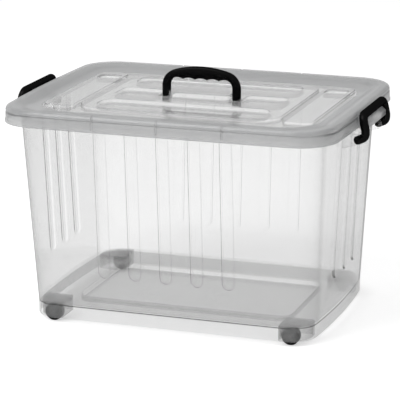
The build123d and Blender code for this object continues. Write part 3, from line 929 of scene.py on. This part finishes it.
# Stations along the lid's long sides: close together over the flanks of each notch.
def notchStations(spec):
    half, flank = spec["notchWidth"] / 2, spec["notchFlank"]
    across = np.linspace(half - flank - 0.0002, half + 0.0002, 6)
    across = np.concatenate([-across[::-1], [0.0], across])
    return rowStations(across, spec["notchPitch"], spec["notchCount"])


# The share of a notch's depth at each station: full over its floor and a smooth step down its flanks.
def notchShare(spec, along):
    centres = rowCentres(spec["notchPitch"], spec["notchCount"])
    across = np.abs(along[:, None] - centres).min(axis=1)
    return smooth((spec["notchWidth"] / 2 - across) / spec["notchFlank"])


# The lid's edge as rings from its foot to the panel. Each row is an inset, a height, how far the notches
# reach into it sideways and down, and its bend value: painted shade, dark in the crease under the bead. The
# notches' flanks get painted shade as well. The bead is a quarter of an ellipse, and two falling bands of
# powered slope join the crest to the dip and the dip to the panel.
def rimRings(spec, skin, bottom, spots):
    panel = binShape["panelHeight"]
    top = panel + spec["crestRise"]
    footZ, beadZ = bottom + spec["skirtTop"], bottom + spec["beadFoot"]
    hemZ, edge = bottom + spec["hemHeight"], spec["hemDepth"] / 2
    deep, tall, shade = spec["creaseDepth"], spec["creaseHeight"], spec["creaseShade"]
    rows = [
        (-edge, bottom, 0, 0, 0),
        (-2 * edge, bottom + edge, 0, 0, 0),
        (-2 * edge, hemZ - edge, 0, 0, 0),
        (-edge, hemZ, 0, 0, 0),
        (0, hemZ + 0.0001, 0, 0, 0),
        (0, hemZ + edge, 1, 0, 0),
        (0.0002, footZ, 1, 0, 0),
        (0.5 * deep, footZ + 0.2 * tall, 1, 0, shade),
        (deep, footZ + 0.5 * tall, 1, 0, shade),
        (deep, footZ + 0.7 * tall, 1, 0, shade),
        (0.6 * deep, beadZ - 0.15 * tall, 1, 0, 0.5 * shade),
    ]
    if skin:
        rows = [(skin, bottom, 0, 0, 0), (skin, footZ, 0, 0, 0)]
    reach = spec["beadTopInset"] - spec["beadStart"] - skin
    for out, up in arcPoints((0, 0), 1, 0, 90, 10):
        rows.append((spec["beadTopInset"] - reach * out, beadZ + (top - beadZ - skin) * up, out, up, 0))
    rings = []
    for inset, height, sideways, down, bend in rows:
        ring = lidOutline(inset, spots)
        share = notchShare(spec, ring[:, 0]) * (skin == 0)
        depth = spec["notchDepth"] * share
        ring[:, 1] -= np.sign(ring[:, 1]) * depth * sideways
        bend = bend + spec["notchShade"] * 4 * share * (1 - share) * sideways ** 2
        rings.append(atHeight(ring, height - depth * down, bend))

    def plainRing(endInset, sideInset, radius):
        halfLength, halfWidth = binShape["lidHalfLength"] - endInset, binShape["lidHalfWidth"] - sideInset
        return outlineRing(halfLength, halfWidth, radius, 0.0, 0.0, spots)

    crest = spec["beadTopInset"] + spec["crestWidth"]
    radius = binShape["lidRadius"] - spec["beadTopInset"]
    crestRing = plainRing(crest + binShape["lidEndBow"], crest + binShape["lidSideBow"], radius)
    dipRing = plainRing(spec["dipEndInset"], spec["dipSideInset"], spec["dipRadius"])
    panelRing = plainRing(spec["panelEndInset"], spec["panelSideInset"], spec["panelRadius"])
    notch = notchShare(spec, crestRing[:, 0]) * spec["notchDepth"] * (skin == 0)
    for mix in (0, 0.05, 0.15, 0.3, 0.5, 0.7, 0.88):
        fall = (top - panel - spec["dipRise"]) * mix ** spec["crestPower"]
        height = top - skin - fall - notch * max(0, 1 - 4 * mix)
        rings.append(atHeight(crestRing + (dipRing - crestRing) * mix, height))
    for mix in (0, 0.12, 0.3, 0.6, 0.85, 0.97, 1):
        height = panel - skin + spec["dipRise"] * (1 - mix) ** spec["dipPower"]
        rings.append(atHeight(dipRing + (panelRing - dipRing) * mix, height))
    return rings


# One raised or sunk field of the panel: its half sizes and radius, its centre, the level round it and its
# own, whether its bends are tight, and how much its skin is thinned. On the underside a raised field is
# smaller by the wall and a sunk one larger, and both lie a wall lower. The upper skin's bend value, painted
# shade, is most halfway through the arcs at the foot and the top of the step.
def fieldRings(field, skin):
    halfLength, halfWidth, radius, centre, outerZ, innerZ, tight, thin = field
    bend = fields["tightBend"] if tight else fields["bend"]
    rest = fields["tightRest"] if tight else fields["rest"]
    grow = (-1 if innerZ > outerZ else 1) * (thin if skin and thin else skin)
    arc = [0.0, 0.7, 1.0, 0.7, 0.0]
    shades = fields["shade"] * np.array([0.0, *arc, *arc, 0.0]) * (skin == 0)
    rings = []
    for (out, height), shade in zip(stepProfile(outerZ - skin, innerZ - skin, bend, rest), shades):
        size = grow + out
        corner = max(radius + size, 0.0002)
        ring = outlineRing(halfLength + size, halfWidth + size, corner, 0.0, 0.0, fields["spots"])
        rings.append(atHeight(ring + np.array(centre), height, shade))
    return rings


# The panel's fields as a tree: each entry is a field and the fields that lie within it.
def panelFields(spec):
    panel = binShape["panelHeight"]
    plateauZ = panel + spec["plateauRise"]
    grooveZ = plateauZ - spec["grooveDepth"]
    pedestalZ = plateauZ + spec["pedestalHeight"]
    panelX = binShape["lidHalfLength"] - lid["panelEndInset"]
    plateauX = panelX - spec["plateauEndInset"]
    plateauY = binShape["lidHalfWidth"] - lid["panelSideInset"] - spec["plateauSideInset"]
    grooveX = plateauX - spec["grooveEndInset"]
    grooveY = (plateauY - spec["grooveSideInset"] - spec["grooveGap"]) / 3
    pitch = 2 * grooveY + spec["grooveGap"]
    corner = min(spec["grooveRadius"], grooveY - 0.001)
    middleHalf = (grooveX - spec["middleGrooveStart"]) / 2
    middleX = spec["middleGrooveStart"] + middleHalf
    slotX, slotHalfX = middleAndHalf(spec["slotStart"], spec["slotEnd"])
    slotY, slotHalfY = middleAndHalf(spec["slotFront"], spec["slotRear"])
    padX, padHalf = middleAndHalf(plateauX + spec["padGap"], panelX - spec["padInset"])
    padGrooveHalf = padHalf - spec["padGrooveEndInset"]
    padGrooveY = plateauY - spec["padGrooveSideInset"] - spec["padGrooveWidth"] / 2

    def raised(halfLength, halfWidth, radius, x):
        return halfLength, halfWidth, radius, (x, 0), panel, plateauZ, False, 0

    def groove(halfLength, halfWidth, radius, x, y):
        return halfLength, halfWidth, radius, (x, y), plateauZ, grooveZ, False, 0

    within, pads = [], []
    for side in (-1, 1):
        slot = (slotHalfX, slotHalfY, spec["slotRadius"], (side * slotX, slotY))
        within.append(groove(grooveX, grooveY, corner, 0, side * pitch))
        within.append(groove(middleHalf, grooveY, spec["middleGrooveRadius"], side * middleX, 0))
        within.append((*slot, plateauZ, spec["slotFloor"], True, spec["slotSkin"]))
        sunk = (padGrooveHalf, spec["padGrooveWidth"] / 2, spec["padGrooveRadius"], side * padX, padGrooveY)
        pads.append((raised(padHalf, plateauY, spec["padRadius"], side * padX), [(groove(*sunk), [])]))
    pedestal = (spec["pedestalHalfLength"], spec["pedestalHalfWidth"], spec["pedestalRadius"], (0, 0))
    within.append((*pedestal, plateauZ, pedestalZ, True, 0))
    plateau = raised(plateauX, plateauY, spec["plateauRadius"], 0)
    return [(plateau, [(field, []) for field in within]), *pads]


# Walls and flat levels of a field tree. A flat level is filled between its outer loop and the loops of
# the fields that lie in it.
def fieldSkin(outer, tree, skin, points, faces):
    loops = [outer]
    for field, inner in tree:
        rings = fieldRings(field, skin)
        faces.extend(stripFaces(len(rings), len(rings[0]), sum(map(len, points))))
        points.append(np.concatenate(rings))
        loops.append(rings[0])
        fieldSkin(rings[-1], inner, skin, points, faces)
    count = sum(map(len, points))
    triangles = mathutils.geometry.tessellate_polygon([loop[:, :3].tolist() for loop in loops])
    faces.extend([tuple(count + index for index in triangle) for triangle in triangles])
    points.append(np.concatenate(loops))


def makeLid(spec):
    bottom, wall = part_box("lid")[0][2], binShape["wall"]
    spots = {
        "sides": notchStations(spec),
        "ends": np.linspace(-0.06, 0.06, 7),
        **{key: spec[key] for key in ("sideSteps", "endSteps", "cornerSteps")},
    }
    tree = panelFields(fields)
    outside = rimRings(spec, 0, bottom, spots)
    inside = rimRings(spec, wall, bottom, spots)
    shell = np.array(inside[::-1] + outside)
    points, faces = [withPaintedShade(shell)], stripFaces(len(shell), shell.shape[1])
    fieldSkin(outside[-1], tree, 0, points, faces)
    fieldSkin(inside[-1], tree, wall, points, faces)
    mesh = meshFrom("lidShell", np.concatenate(points), faces)
    finishPiece("lidShell", mesh, lidMaterial, "lid", ["lid"], 38)


makeLid(lid)


# Sloped shelves on the lid's ends that the latch bars press on

shelf = {
    "halfWidth": 0.060,
    "slopeTop": (0.2955, 0.3870),
    "slopeFoot": (0.3180, 0.3685),
    "bottom": 0.3595,
    "cheekDepth": 0.0205,
    "bend": 0.0012,
    "edge": 0.0006,
}


# The shelf is a bent plate: down the slope, down the front and back up inside, a wall's thickness away. A
# cheek closes each of its ends.
def makeShelves(spec):
    wall, half, edge, bottom = binShape["wall"], spec["halfWidth"], spec["edge"], spec["bottom"]
    (topX, topZ), (footX, footZ) = spec["slopeTop"], spec["slopeFoot"]
    outline = [
        (topX, topZ),
        (topX - 0.3 * wall, topZ - 1.2 * wall),
        (footX - wall, footZ - 0.6 * wall),
        (footX - wall, bottom),
        (footX, bottom),
        (footX, footZ),
    ]
    radii = [0.0006, 0.0006, 0.0006, 0.0005, 0.0005, spec["bend"]]
    cheek = [(footX - spec["cheekDepth"], bottom), (footX, bottom), (footX, footZ), (topX, topZ)]
    grids = []
    for side in (-1, 1):
        flip = (side, 1, 1)
        grids.append(slabRings(roundedPolygon(outline, radii), -half, half, edge) * flip)
        for end in (-1, 1):
            lowY, highY = sorted((end * (half - 0.0001), end * (half - wall)))
            grids.append(slabRings(roundedPolygon(cheek, 0.0006), lowY, highY, edge) * flip)
    gridsPiece("latchShelves", grids, lidMaterial, "lid", [], 38)


makeShelves(shelf)


# Carrying handle on the lid

handleShape = {
    "legWidth": 0.014,
    "gripThickness": 0.023,
    "shoulderInset": 0.0218,
    "shoulderDrop": 0.0072,
    "legHeight": 0.0229,
    "scallopPitch": 0.022,
    "scallopDepth": 0.0028,
    "scallopCount": 5,
    "innerCorner": 0.0145,
    "edgeRound": 0.0034,
    "sectionSteps": 6,
    "legSteps": 14,
    "cornerSteps": 22,
    "gripSteps": 121,
    "scallopPower": 2.2,
}


# Points on the arc that leaves start along tangent and ends at end. Its centre is on the normal at start,
# at the chord's length squared over twice the chord's share along that normal.
def arcThrough(start, end, tangent, count):
    chord = end - start
    normal = np.array([tangent[1], -tangent[0]])
    radius = (chord @ chord) / (2 * (chord @ normal))
    centre = start + normal * radius
    first = math.atan2(*(start - centre)[::-1])
    last = math.atan2(*(end - centre)[::-1])
    angle = np.linspace(first, last, count)
    return centre + abs(radius) * np.stack([np.cos(angle), np.sin(angle)], -1)


# The handle is a row of rounded sections between an outer and an inner line in the XZ plane. A scallop's
# lift is its depth times 1 less a power of the distance from its middle, where 1 is its edge. The sections'
# depth closes in a quarter circle towards the feet.
def makeHandle(spec):
    low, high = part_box("lid_handle")
    outerX, halfDepth = max(-low[0], high[0]), (high[1] - low[1]) / 2
    footZ, topZ = low[2], high[2]
    innerX, underZ = outerX - spec["legWidth"], topZ - spec["gripThickness"]
    shoulderX, shoulderDrop = outerX - spec["shoulderInset"], spec["shoulderDrop"]
    legTopZ, steps = footZ + spec["legHeight"], spec["cornerSteps"]

    crownRadius = (shoulderX ** 2 + shoulderDrop ** 2) / (2 * shoulderDrop)
    share = np.linspace(-1, 1, spec["gripSteps"])
    crownX = share * shoulderX
    crown = np.stack([crownX, topZ - crownRadius + np.sqrt(crownRadius ** 2 - crownX ** 2)], -1)
    lastScallop = (spec["scallopCount"] - 1) / 2 * spec["scallopPitch"]
    under = share * lastScallop
    phase = (under / spec["scallopPitch"] + 0.5) % 1 - 0.5
    lift = spec["scallopDepth"] * (1 - (2 * np.abs(phase)) ** spec["scallopPower"])
    grip = np.stack([under, underZ + lift], -1)

    tangent = unit(np.array([crownRadius - shoulderDrop, -shoulderX]))
    shoulder = np.array([shoulderX, topZ - shoulderDrop])
    outerCorner = arcThrough(shoulder, np.array([outerX, legTopZ]), tangent, steps)[1:]
    cornerFoot = underZ + spec["scallopDepth"] - spec["innerCorner"]
    radii = (innerX - lastScallop, spec["innerCorner"])
    innerCorner = arcPoints((lastScallop, cornerFoot), radii, 90, 0, steps)[1:]
    curve = 1 - np.cos(np.linspace(0, np.pi / 2, spec["legSteps"]))[:-1]
    drop = curve / curve[-1]
    outerLeg = np.stack([np.full(drop.shape, outerX), legTopZ + (footZ - legTopZ) * drop], -1)
    innerLeg = np.stack([np.full(drop.shape, innerX), cornerFoot + (footZ - cornerFoot) * drop], -1)

    flip = np.array([-1, 1])
    outerHalf = np.concatenate([outerCorner, outerLeg])
    innerHalf = np.concatenate([innerCorner, innerLeg])
    outer = np.concatenate([(outerHalf * flip)[::-1], crown, outerHalf])
    inner = np.concatenate([(innerHalf * flip)[::-1], grip, innerHalf])

    middle = (outer + inner) / 2
    half = np.linalg.norm(outer - inner, axis=1) / 2
    side = (outer - inner) / (2 * half[:, None])
    above = np.clip((middle[:, 1] - footZ) / halfDepth, 0.02, 1)
    depth = halfDepth * np.sqrt(1 - (1 - above) ** 2)
    corner = np.minimum(spec["edgeRound"], depth * 0.9)
    section = roundedSection(half, depth, corner, spec["sectionSteps"])
    across = middle[:, None] + side[:, None] * section[..., :1]
    points = np.stack([across[..., 0], section[..., 1], across[..., 1]], -1)
    gridsPiece("carryingHandle", [points], blackMaterial, "lid_handle", ["lid_handle"])


makeHandle(handleShape)


# Swinging latches at both ends

latchShape = {
    "armRadius": 0.0061,
    "armSpread": 1.22,
    "barRadius": 0.0075,
    "elbowRadius": 0.0095,
    "barCornerRadius": 0.0125,
    "pivotAbovePoint": 0.006,
    "elbowRise": (0.006, 0.018),
    "pivotInset": 0.014,
    "barInset": 0.0055,
    "barDrop": 0.0075,
    "pinRadius": 0.003,
    "pinReach": 0.012,
    "pinSteps": 24,
    "growShare": 1.2,
    "arcSteps": 9,
    "pathSteps": 90,
    "ringSteps": 20,
    "capSteps": 7,
    "capShare": 0.97,
}


# Rings square to the path, turned along with it: each ring keeps the last ring's sideways direction less
# its share along the path. Each ring is an ellipse, wider by its spread in that direction.
def latchRings(path, radii, spreads, steps):
    along = np.gradient(path, axis=0)
    along /= np.linalg.norm(along, axis=1, keepdims=True)
    across = np.empty_like(path)
    last = np.cross(along[0], (0, 1, 0))
    for index, direction in enumerate(along):
        across[index] = last = unit(last - direction * (last @ direction))
    normal = np.cross(along, across)
    angle = np.linspace(0, 2 * np.pi, steps, endpoint=False)[None, :, None]
    reach = np.asarray(radii)[:, None, None]
    wide = across[:, None] * np.asarray(spreads)[:, None, None]
    return path[:, None] + reach * (wide * np.cos(angle) + normal[:, None] * np.sin(angle))


# One bent rod: near pivot, two elbows, the bar along Y, and back down to the far pivot. Round the upper
# corners its radius grows from the arm's to the bar's by a smooth step, while its spread falls evenly to
# 1. Its ends are half balls, and a pin at each end reaches into its ear.
def makeLatch(node, side, spec):
    low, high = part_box(node)
    radius, spread = spec["armRadius"], spec["armSpread"]
    elbow, corner = spec["elbowRadius"], spec["barCornerRadius"]
    elbowX = max(abs(low[0]), abs(high[0])) - radius * spread
    armY = high[1] - radius
    pivotX, barX = elbowX - spec["pivotInset"], elbowX - spec["barInset"]
    pivotZ, barZ = low[2] + spec["pivotAbovePoint"], high[2] - spec["barDrop"]
    lowRise, highRise = spec["elbowRise"]
    near = [
        (side * pivotX, -armY, pivotZ),
        (side * elbowX, -armY, pivotZ + lowRise),
        (side * elbowX, -armY, pivotZ + highRise),
        (side * barX, -armY, barZ),
    ]
    far = [(x, -y, z) for x, y, z in reversed(near)]
    path = roundedPath(near + far, (elbow, elbow, corner, corner, elbow, elbow), spec["arcSteps"])
    travel = np.concatenate([[0], np.linalg.norm(np.diff(path, axis=0), axis=1).cumsum()])
    stations = np.unique(np.concatenate([travel, np.linspace(0, travel[-1], spec["pathSteps"])]))
    path = np.stack([np.interp(stations, travel, path[:, axis]) for axis in range(3)], -1)
    cap = np.linspace(np.pi / 2, 0, spec["capSteps"], endpoint=False)[:, None] * spec["capShare"]
    head = path[0] + unit(path[0] - path[1]) * radius * np.sin(cap)
    tail = path[-1] + unit(path[-1] - path[-2]) * radius * np.sin(cap[::-1])
    capRadii = radius * np.cos(cap[:, 0])
    rise = np.clip((armY - np.abs(path[:, 1])) / (corner * spec["growShare"]), 0, 1)
    grown = radius + (spec["barRadius"] - radius) * smooth(rise)
    radii = np.concatenate([capRadii, grown, capRadii[::-1]])
    spreads = np.pad(spread + (1 - spread) * rise, spec["capSteps"], mode="edge")
    grids = [latchRings(np.concatenate([head, path, tail]), radii, spreads, spec["ringSteps"])]
    for place in (-1, 1):
        pin = np.array([[spec["pinRadius"], 0.0], [spec["pinRadius"], -place * spec["pinReach"]]])
        grids.append(lathe(pin, (side * pivotX, place * armY, pivotZ), spec["pinSteps"]))
    name = "swingLatch" + ("Left" if side < 0 else "Right")
    gridsPiece(name, grids, blackMaterial, node, [node])


makeLatch("latch_left", -1, latchShape)
makeLatch("latch_right", 1, latchShape)


# Wheels and their axle pins

wheelShape = {
    "edgeRound": 0.0022,
    "tyre": 0.004,
    "dish": 0.003,
    "hubRadius": 0.0065,
    "boreRadius": 0.00255,
    "softEdge": 0.0005,
    "treadShare": 0.3,
    "ringSteps": 48,
    "axleEdge": 0.0005,
    "axleSteps": 32,
}


# Half of a wheel's section, as (radius, distance from the middle): bore, hub, dish, side and tread. It is
# mirrored and turned about the axle.
def wheelProfile(radius, half, spec):
    edge, soft, hub, bore = spec["edgeRound"], spec["softEdge"], spec["hubRadius"], spec["boreRadius"]
    rim, floor = radius - spec["tyre"], half - spec["dish"]
    return np.concatenate(
        [
            [[bore, 0.0], [bore, half - soft]],
            arcPoints((bore + soft, half - soft), soft, 180, 90, 4),
            arcPoints((hub - soft, half - soft), soft, 90, 0, 4),
            [[hub, floor], [rim, floor]],
            arcPoints((rim + soft, half - soft), soft, 180, 90, 4),
            arcPoints((radius - edge, half - edge), edge, 90, 0, 8),
            [[radius, half * spec["treadShare"]]],
        ]
    )


def makeWheel(place, spec):
    name = "".join(word.capitalize() for word in place.split("_"))
    centre, half = middleAndHalf(*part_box("wheel_" + place))
    section = wheelProfile(half[2], half[1], spec)
    rings = lathe(np.concatenate([section, section[::-1] * (1, -1)]), centre, spec["ringSteps"])
    mesh = bpy.data.meshes.new("wheel" + name)
    mesh.from_pydata(rings.reshape(-1, 3).tolist(), [], stripFaces(*rings.shape[:2], closeRows=True))
    node = "wheel_" + place
    finishPiece("wheel" + name, mesh, wheelMaterial, node, [node], 40)

    centre, half = middleAndHalf(*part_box("axle_" + place))
    reach, radius, edge = half[1], half[2], spec["axleEdge"]
    pin = [[radius - edge, -reach], [radius, edge - reach], [radius, reach - edge], [radius - edge, reach]]
    rings = lathe(np.array(pin), centre, spec["axleSteps"])
    gridsPiece("axle" + name, [rings], steelMaterial, "tub", ["axle_" + place])


for place in wheelPlaces:
    makeWheel(place, wheelShape)
print("pieces done")


# Camera, floor and light

view = {
    "focalPixels": 2189.28,
    "frameWidth": 400,
    "sensorWidth": 36.0,
    "azimuth": 19.05,
    "elevation": 14.84,
    "roll": -0.14,
    "distance": 3.89509,
    "farEnd": 60,
    "target": (-0.00336, 0.0, 0.19371),
}


# An object at a place that looks away from back, with right on its right-hand side.
def addTurned(name, data, right, back, place):
    item = addObject(name, data)
    matrix = np.eye(4)
    matrix[:3] = np.stack([right, np.cross(back, right), back, place], -1)
    item.matrix_world = matrix.T.tolist()
    return item


# The camera stands at its distance from the target, in the direction of its azimuth and elevation, and is
# rolled about that line. Its focal length is that in pixels times the sensor's width over the frame's.
def makeCamera(spec):
    turn, lift, roll = (math.radians(spec[key]) for key in ("azimuth", "elevation", "roll"))
    back = np.array([math.sin(turn) * math.cos(lift), -math.cos(turn) * math.cos(lift), math.sin(lift)])
    level = np.array([math.cos(turn), math.sin(turn), 0.0])
    right = level * math.cos(roll) + np.cross(back, level) * math.sin(roll)
    data = bpy.data.cameras.new("photoCamera")
    data.sensor_width = spec["sensorWidth"]
    data.sensor_fit = "HORIZONTAL"
    data.lens = spec["focalPixels"] * spec["sensorWidth"] / spec["frameWidth"]
    data.clip_end = spec["farEnd"]
    place = np.array(spec["target"]) + back * spec["distance"]
    scene.camera = addTurned("photoCamera", data, right, back, place)


studio = {
    "floorSize": 24.0,
    "floorColour": (0.82, 0.82, 0.82, 1),
    "floorGlow": 0.51,
    "worldStrength": 0.5,
    "keyPower": 90.0,
    "keyPlace": (-1.6, -2.2, 3.2),
    "keySize": 2.4,
    "clearBounces": 40,
    "bounces": 8,
}


# 1 for rays that show the background itself: from the camera, in reflections and through glass.
def seenAsBackground(material):
    path = addNode(material, "ShaderNodeLightPath").outputs
    mirrored = mathNode(material, "MAXIMUM", path["Is Glossy Ray"], path["Is Transmission Ray"])
    return mathNode(material, "MAXIMUM", path["Is Camera Ray"], mirrored)


def makeStudio(spec):
    size = spec["floorSize"] / 2
    corners = [(-size, -size, 0), (size, -size, 0), (size, size, 0), (-size, size, 0)]
    mesh = bpy.data.meshes.new("studioFloor")
    mesh.from_pydata(corners, [], [(0, 1, 2, 3)])
    floor = addObject("studioFloor", mesh)
    material = newMaterial("studioFloor")
    glow = mathNode(material, "MULTIPLY", seenAsBackground(material), spec["floorGlow"])
    base = addNode(material, "ShaderNodeBsdfDiffuse", {"Color": spec["floorColour"]}).outputs[0]
    lit = addNode(material, "ShaderNodeEmission", {"Color": white, "Strength": glow}).outputs[0]
    finishMaterial(material, addNode(material, "ShaderNodeAddShader", {0: base, 1: lit}).outputs[0])
    mesh.materials.append(material)

    world = bpy.data.worlds.new("studioWorld")
    world.use_nodes = True
    world.node_tree.nodes.clear()
    strength = mixFloat(world, seenAsBackground(world), spec["worldStrength"], 1.0)
    sky = addNode(world, "ShaderNodeBackground", {"Color": white, "Strength": strength}).outputs[0]
    addNode(world, "ShaderNodeOutputWorld", {"Surface": sky})
    scene.world = world

    data = bpy.data.lights.new("keySoftbox", "AREA")
    data.energy = spec["keyPower"]
    data.size = spec["keySize"]
    back = unit(np.array(spec["keyPlace"]))
    addTurned("keySoftbox", data, unit(np.cross((0, 0, 1), back)), back, spec["keyPlace"])

    scene.view_settings.view_transform = "Standard"
    scene.cycles.transparent_max_bounces = spec["clearBounces"]
    scene.cycles.max_bounces = spec["bounces"]


makeCamera(view)
makeStudio(studio)
print("camera and studio done")
